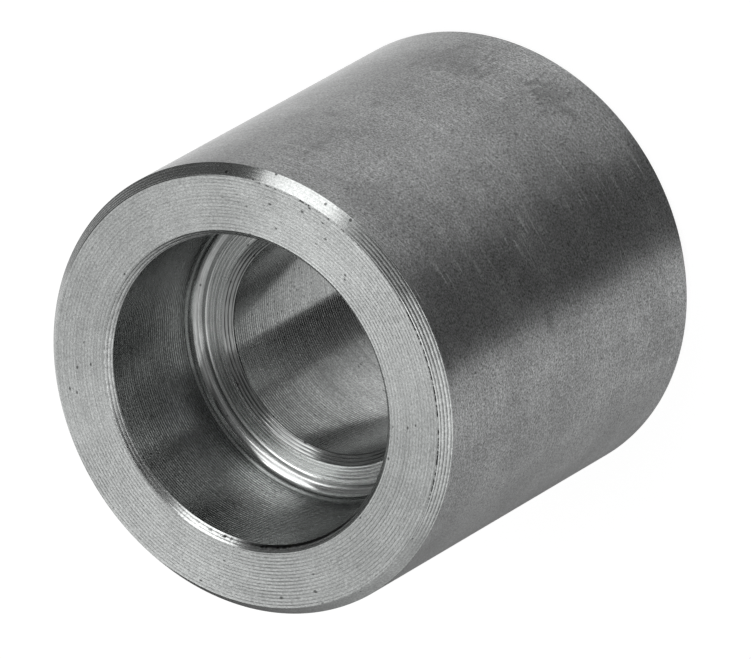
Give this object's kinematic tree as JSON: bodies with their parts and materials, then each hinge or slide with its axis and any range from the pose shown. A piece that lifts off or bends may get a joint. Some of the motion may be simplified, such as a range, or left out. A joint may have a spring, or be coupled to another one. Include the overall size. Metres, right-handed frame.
{
  "type": "socket weld half coupling",
  "caption": "Turned steel half coupling: a thick tube with a stepped socket for a welded pipe at one end and a plain end at the other.",
  "frame": {"origin": "centre of the plain end's face, on the bore axis", "axes": "+Z along the bore axis, from the plain end towards the socket's mouth"},
  "size_m": [0.032, 0.032, 0.0315],
  "materials": {
    "stainless_steel": "turned, bare metal, with fine feed marks on the end face and a dull barrel"
  },
  "bodies": {
    "root": {"half_coupling": "stainless_steel"}
  },
  "joints": []
}
